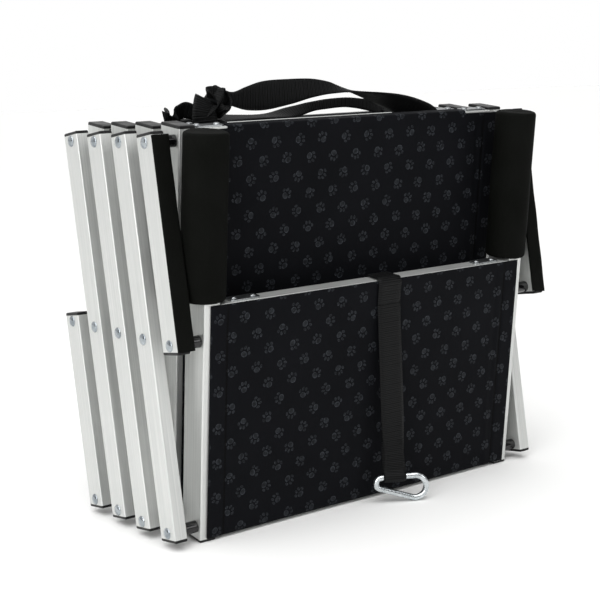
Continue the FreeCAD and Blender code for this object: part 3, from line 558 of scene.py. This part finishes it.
def sleeve(side):
    """A closed solid of revolution with round rims, its radius uneven by a few tenths."""
    bend = np.linspace(0.0, math.pi / 2, 7)
    low = np.stack([SLEEVE_RADIUS - SLEEVE_ROUND + SLEEVE_ROUND * np.sin(bend),
                    SLEEVE_LOW + SLEEVE_ROUND * (1 - np.cos(bend))], -1)
    straight = np.linspace(SLEEVE_LOW + SLEEVE_ROUND + 2, SLEEVE_HIGH - SLEEVE_ROUND - 2, 60)
    run = np.stack([np.full_like(straight, SLEEVE_RADIUS), straight], -1)
    high = np.stack([SLEEVE_RADIUS - SLEEVE_ROUND + SLEEVE_ROUND * np.cos(bend),
                     SLEEVE_HIGH - SLEEVE_ROUND * (1 - np.sin(bend))], -1)
    inner = np.array([[2.0, 0.0], [9.0, 0.0], [15.0, 0.0]])
    path = np.concatenate([inner + [0.0, SLEEVE_LOW], low, run, high,
                           inner[::-1] + [0.0, SLEEVE_HIGH]])
    turn = np.linspace(0.0, math.tau, 72, endpoint=False)
    radius, height = path[:, :1], path[:, 1:]
    uneven = 0.18 * np.sin(3 * turn + height / 19.0) + 0.12 * np.sin(2 * turn - height / 33.0)
    radius = radius * (1.0 + uneven / SLEEVE_RADIUS)
    grid = np.stack([side * SLEEVE_SIDE + radius * np.cos(turn),
                     SLEEVE_BACK + radius * np.sin(turn),
                     np.repeat(height, len(turn), 1) + RIM_UNEVEN * np.sin(2 * turn + side)], -1)
    around = np.concatenate([turn, [math.tau]]) * SLEEVE_RADIUS
    uv = np.stack(np.broadcast_arrays(around[None, :], height), -1)
    return step_place(1, grid), uv, True


sleeves = mesh_piece("arm_sleeves", [sleeve(-1), sleeve(1)], foam_finish)
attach(sleeves, "step_1")
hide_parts("foam_sleeves")


# ---- Foam strips on the front links ----
# Self-adhesive strips of the same foam, cut by hand from a roll and stuck along the front faces
# of the foremost link bars, which the folded steps close against. Their lower ends are ragged.
STRIP_SIDE = 230.6       # a little wider than the bar, and flush with its outer side
STRIP_HALF = 9.0
STRIP_FACE = -14.0       # the link bar's front face
STRIP_THICK = 3.4
STRIP_LOW, STRIP_HIGH = -5.5, 195.5
RAGGED, FINE_RAGGED = 1.6, 0.7


def foam_strip(side):
    """A rounded rectangle carried along the bar, its lower end cut to a ragged line."""
    turn = np.linspace(0.0, math.tau, 28, endpoint=False)
    wide = np.sign(np.cos(turn)) * np.abs(np.cos(turn)) ** 0.35 * STRIP_HALF
    swell = np.sign(np.sin(turn)) * np.abs(np.sin(turn)) ** 0.5
    deep = STRIP_FACE - STRIP_THICK / 2 + swell * STRIP_THICK / 2
    along = np.linspace(0.0, 1.0, 70)[:, None]
    low = STRIP_LOW + RAGGED * np.sin(wide * 1.3 + side) + FINE_RAGGED * np.sin(wide * 3.1)
    height = low + (STRIP_HIGH - low) * along + 0.0 * wide
    ease = 0.25 * np.sin(height / 8.0 + side) * (deep < STRIP_FACE - 1.0)
    grid = np.stack([side * STRIP_SIDE + wide + 0.0 * along, deep + ease, height], -1)
    around = np.linspace(0.0, 2 * (2 * STRIP_HALF + STRIP_THICK), 29)
    uv = np.stack(np.broadcast_arrays(around[None, :], height[:, :1]), -1)
    return step_place(1, grid, -LEAN), uv, True


strips = mesh_piece("link_foam_strips", [foam_strip(-1), foam_strip(1)], foam_finish)
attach(strips, "link_1")
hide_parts("link_1_pads")


# ---- Carrying handles ----
# Two lengths of black polypropylene webbing, sewn round the upper cross bars of the third and
# fourth steps. The front one stands up in a twisted arch, bunched at its left end.
WEB_HALF = 15.0
WEB_THICK = 2.0
RIB = 3.0                # from one cross rib of the webbing to the next
RIB_DEPTH = 0.45
RIB_ROWS = 5             # rows of mesh points to a rib
YARNS = 900.0            # per metre of width: 1.1 mm apart

web_finish, tree, surface = finish_of("polypropylene_webbing", Roughness=0.5, IOR=1.49)
surface.inputs["Specular IOR Level"].default_value = 0.12
metres = add(tree, "UVMap", uv_map="surface_metres").outputs["UV"]
yarn_map = add(tree, "Mapping", {"Vector": metres, "Scale": (YARNS, 1000 / RIB, 1.0)})
yarn = add(tree, "TexWave", {"Vector": yarn_map.outputs["Vector"], "Scale": 0.5, "Distortion": 1.2,
                             "Detail": 2.0}, bands_direction="X")
# The lighter lines across the webbing are a painted highlight, standing for light on its raised
# cross ribs.
rib_highlight = add(tree, "TexWave", {"Vector": yarn_map.outputs["Vector"], "Scale": 0.5},
           bands_direction="Y")
fuzz = add(tree, "TexNoise", {"Vector": metres, "Scale": 1500.0, "Detail": 2.0})
colour = add(tree, "ValToRGB", {"Fac": rib_highlight.outputs["Fac"]}, ((0.5, "#020202"), (0.95, "#191a1b")))
tree.links.new(colour.outputs["Color"], surface.inputs["Base Color"])
gloss = add(tree, "ValToRGB", {"Fac": fuzz.outputs["Fac"]}, ((0.3, 0.42), (0.7, 0.6)))
tree.links.new(gloss.outputs["Color"], surface.inputs["Roughness"])
woven = add(tree, "Bump", {"Height": yarn.outputs["Fac"], "Strength": 0.25, "Distance": 0.0003})
rough = add(tree, "Bump", {"Height": fuzz.outputs["Fac"], "Strength": 0.15, "Distance": 0.0002,
                           "Normal": woven.outputs["Normal"]})
tree.links.new(rough.outputs["Normal"], surface.inputs["Normal"])


def smooth_through(marks, count):
    """A curve through marked points: each column is a natural-looking cubic over its length."""
    marks = np.asarray(marks, float)
    gaps = np.linalg.norm(np.diff(marks[:, :3], axis=0), axis=1) ** 0.5
    knots = np.concatenate([[0.0], np.cumsum(gaps)])
    slopes = np.gradient(marks, knots, axis=0)
    at = np.linspace(0.0, knots[-1], count)
    cell = np.clip(np.searchsorted(knots, at, side="right") - 1, 0, len(knots) - 2)
    width = (knots[cell + 1] - knots[cell])[:, None]
    t = (at[:, None] - knots[cell][:, None]) / width
    return ((2 * t ** 3 - 3 * t ** 2 + 1) * marks[cell]
            + (t ** 3 - 2 * t ** 2 + t) * width * slopes[cell]
            + (3 * t ** 2 - 2 * t ** 3) * marks[cell + 1]
            + (t ** 3 - t ** 2) * width * slopes[cell + 1])


def band(marks):
    """Webbing swept along a curve. A mark is a point, a direction across and a half width.

    The section is a flat rounded rectangle, and the cross ribs swell it once every rib pitch.
    """
    rough_line = smooth_through(marks, 400)
    length = float(np.sum(np.linalg.norm(np.diff(rough_line[:, :3], axis=0), axis=1)))
    line = smooth_through(marks, int(length / RIB * RIB_ROWS) + 2)
    centre, across, half = line[:, :3], line[:, 3:6], line[:, 6:7]
    along = np.gradient(centre, axis=0)
    along /= np.linalg.norm(along, axis=1, keepdims=True)
    across = across - along * np.sum(across * along, axis=1, keepdims=True)
    across /= np.linalg.norm(across, axis=1, keepdims=True)
    out = np.cross(across, along)
    run = np.concatenate([[0.0], np.cumsum(np.linalg.norm(np.diff(centre, axis=0), axis=1))])
    side = np.concatenate([np.linspace(-1, 1, 9), np.linspace(1, -1, 9)])
    face = np.concatenate([np.ones(9), -np.ones(9)])
    edge = np.clip((1.0 - np.abs(side)) * 12.0, 0.25, 1.0)
    swell = 1.0 + RIB_DEPTH * np.abs(np.sin(math.pi * run / RIB))
    push = (WEB_THICK / 2 * swell - RIB_DEPTH / 2)[:, None] * (face * edge)[None, :]
    grid = (centre[:, None] + across[:, None] * (side[None, :] * half)[..., None]
            + out[:, None] * push[..., None])
    around = np.concatenate([side * WEB_HALF, [-WEB_HALF]])
    uv = np.stack(np.broadcast_arrays(around[None, :], run[:, None]), -1)
    return grid, uv, True


def wrap_round(side):
    """Marks for a handle's end sewn round the cross bar: up its front, over it, down its back."""
    reach = BAR_HALF + CLOTH + 0.3 + WEB_THICK / 2
    top = BAR_TOP + CLOTH + 0.9 + WEB_THICK / 2
    path = [(-reach, top - 27), (-reach, top - 14), (-reach, top - 3.0), (-reach + 3.0, top - 0.1),
            (0.0, top), (reach - 3.0, top - 0.1), (reach, top - 3.0), (reach, top - 14),
            (reach, top - 27)]
    return [(side, y, z, 1.0, 0.0, 0.0, WEB_HALF) for y, z in path]


LEG = 137.0              # from the model's middle to each sewn end
# Each mark is a point, the direction across the webbing and its half width there.
front_arch = [
    (-150.0, -14.0, 188.0, 1.0, 0.0, 0.0, 15.0),
    (-150.0, -14.0, 203.0, 1.0, 0.0, 0.0, 15.0),
    (-150.0, -12.0, 217.0, 0.95, 0.15, 0.15, 14.5),
    (-146.0, -8.0, 227.5, 0.8, 0.2, 0.5, 12.0),
    (-138.0, -5.0, 231.5, 0.3, 0.2, 0.9, 9.0),
    (-127.0, -3.0, 229.5, 0.0, 0.1, 1.0, 8.0),
    (-113.0, -2.5, 226.5, -0.05, -0.1, 1.0, 7.0),
    (-95.0, -2.0, 226.2, 0.0, -0.1, 1.0, 12.0),
    (-74.0, -2.0, 228.0, 0.0, 0.0, 1.0, 14.8),
    (-40.0, -2.0, 231.0, 0.0, 0.05, 1.0, 13.0),
    (-14.0, -2.0, 233.5, 0.0, 0.2, 1.0, 10.0),
    (10.0, -2.5, 233.3, 0.0, 0.6, 0.8, 7.5),
    (30.0, -4.0, 230.3, 0.05, 0.98, 0.2, 7.5),
    (48.0, -6.5, 226.5, 0.05, 0.95, -0.25, 9.0),
    (68.0, -10.0, 222.0, 0.1, 0.8, -0.55, 11.0),
    (97.0, -14.0, 214.0, 0.15, 0.55, -0.8, 13.2),
    (120.0, -16.0, 205.0, 0.35, 0.3, -0.85, 14.5),
    (136.0, -16.5, 197.0, 0.55, 0.1, -0.8, 14.8),
    (146.0, -16.0, 188.0, 0.8, 0.0, -0.6, 14.8),
]
bunch = [
    (-147.0, -5.0, 212.0, 0.5, 0.3, 0.8, 10.0),
    (-141.0, -7.0, 223.0, 0.2, 0.5, 0.85, 9.0),
    (-133.0, -5.5, 232.5, 0.1, 0.7, 0.6, 8.0),
    (-127.0, -2.0, 237.5, 0.3, 0.9, 0.1, 7.5),
    (-121.0, 0.5, 232.0, 0.1, 0.8, -0.5, 8.0),
    (-118.0, -3.0, 221.0, -0.1, 0.6, -0.7, 9.0),
    (-123.0, -7.0, 213.0, -0.3, 0.6, -0.6, 9.5),
    (-131.0, -8.0, 215.0, -0.6, 0.5, 0.1, 9.0),
    (-135.0, -6.0, 223.0, -0.6, 0.5, 0.5, 8.0),
    (-129.0, -2.5, 229.0, -0.3, 0.6, 0.7, 7.0),
]
front_parts = [(step_place(3, g), uv, w) for g, uv, w in (
    band(wrap_round(-LEG)), band(wrap_round(LEG)), band(front_arch), band(bunch))]
front_handle = mesh_piece("front_handle_webbing", front_parts, web_finish)
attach(front_handle, "step_3")
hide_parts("front_handle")

rear_arch = [
    (-160.0, -2.0, 205.8, 1.0, 0.0, 0.05, 14.5),
    (-154.0, -3.0, 208.5, 0.9, 0.0, 0.35, 13.5),
    (-146.0, -3.0, 213.5, 0.5, -0.2, 0.8, 10.5),
    (-137.0, -2.0, 216.5, 0.15, -0.2, 0.95, 9.0),
    (-124.0, -1.0, 213.5, 0.0, 0.0, 1.0, 8.0),
    (-104.0, 0.0, 207.5, 0.0, 0.8, 0.4, 11.0),
    (-60.0, 0.0, 205.4, 0.0, 1.0, 0.03, 14.2),
    (-20.0, 0.0, 205.6, 0.0, 1.0, 0.08, 13.8),
    (6.0, 0.0, 209.0, 0.0, 0.7, 0.6, 7.5),
    (26.0, 0.0, 212.8, 0.0, 0.3, 1.0, 5.5),
    (46.0, 0.0, 214.8, 0.0, 0.2, 1.0, 5.5),
    (75.0, 0.0, 215.5, 0.0, 0.1, 1.0, 5.5),
    (108.0, 0.0, 211.0, 0.1, 0.3, 0.9, 7.0),
    (130.0, -1.0, 207.5, 0.6, 0.4, 0.4, 11.5),
    (150.0, 0.0, 205.8, 1.0, 0.0, 0.05, 14.6),
]
rear_parts = [(step_place(4, g), uv, w) for g, uv, w in (
    band(wrap_round(-LEG)), band(wrap_round(LEG)), band(rear_arch))]
rear_handle = mesh_piece("rear_handle_webbing", rear_parts, web_finish)
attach(rear_handle, "step_4")
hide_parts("rear_handle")


# ---- Tether ----
# A webbing loop over the first step's middle cross bar and the strap that hangs from it. The
# strap's end turns round the snap hook, where its edges curl in, and is sewn to itself.
TETHER_SIDE = 16.0
HANG = places["tether_swing"] / MM
SPINE = places["hook_swing"] / MM
hook_axis = next(Vector(j["axis"]) for j in frame["joints"] if j["name"] == "hook_swing")
EYE_LINE = 4.4           # from the hook's wire centre to the middle of the webbing round it
EYE_HALF = 12.0          # the curled webbing's half width round the hook
SEWN_BACK, SEWN_HALF = 1.9, 11.2      # the sewn end behind the strap, and its half width

reach = BAR_HALF + 1.6 + 0.3 + WEB_THICK / 2
crown = MIDDLE_BAR_TOP + 0.4 + WEB_THICK / 2
loop_marks = [(TETHER_SIDE, y, z, 1.0, 0.0, 0.0, WEB_HALF) for y, z in (
    (reach, crown - 26.5), (reach, crown - 14), (reach, crown - 3.0), (reach - 3.0, crown - 0.1),
    (0.0, crown), (3.0 - reach, crown - 0.1), (-reach, crown - 3.0), (-reach, crown - 14),
    (-reach, crown - 27.0))]
grid, uv, wrap = band(loop_marks)
tether_loop = mesh_piece("tether_bar_loop", [(step_place(1, grid), uv, wrap)], web_finish)
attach(tether_loop, "step_1")
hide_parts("tether_loop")

spine_way = -hook_axis.normalized()
strap_marks = []
# Down the strap: the drop below its fold line, its share of the turn to the hook's wire, and
# its half width.
for drop, twist, half in ((-1.2, 0.0, 15.0), (30.0, 0.0, 15.0), (70.0, 0.02, 14.9),
                          (110.0, 0.06, 14.7), (138.0, 0.25, 13.2), (156.0, 0.6, 11.2),
                          (168.0, 0.85, 11.4), (177.0, 1.0, 12.0)):
    way = Vector((1, 0, 0)).lerp(spine_way, twist).normalized()
    strap_marks.append((HANG.x, HANG.y - 0.5 * twist, HANG.z - drop, way.x, way.y, 0.0, half))
side_way = Vector((-spine_way.y, spine_way.x, 0.0))
for angle in (-15, 30, 75, 120, 165, 210):
    turn = math.radians(angle)
    off = -side_way * EYE_LINE * math.cos(turn) + Vector((0, 0, -1)) * EYE_LINE * math.sin(turn)
    strap_marks.append((SPINE.x + off.x, SPINE.y + off.y, SPINE.z + off.z,
                        spine_way.x, spine_way.y, 0.0, EYE_HALF))
for lift in (14.0, 26.0, 38.0):
    strap_marks.append((SPINE.x, SPINE.y + SEWN_BACK, SPINE.z + lift,
                        spine_way.x, spine_way.y, 0.0, SEWN_HALF))
grid, uv, wrap = band(strap_marks)
tether = mesh_piece("tether_webbing", [(grid * MM, uv, wrap)], web_finish)
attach(tether, "tether")
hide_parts("tether_strap")


# ---- Snap hook ----
# A pear-shaped hook bent from 6 mm steel wire and plated with bright zinc, which leaves a
# faint blue in its reflections. Its sprung gate is the same wire.
zinc_finish = plated_steel("zinc_plated_wire", "#dfe4e6", "#c3c9cc", 0.22, 0.36)
dress("carabiner_body", zinc_finish)
dress("carabiner_gate", zinc_finish)
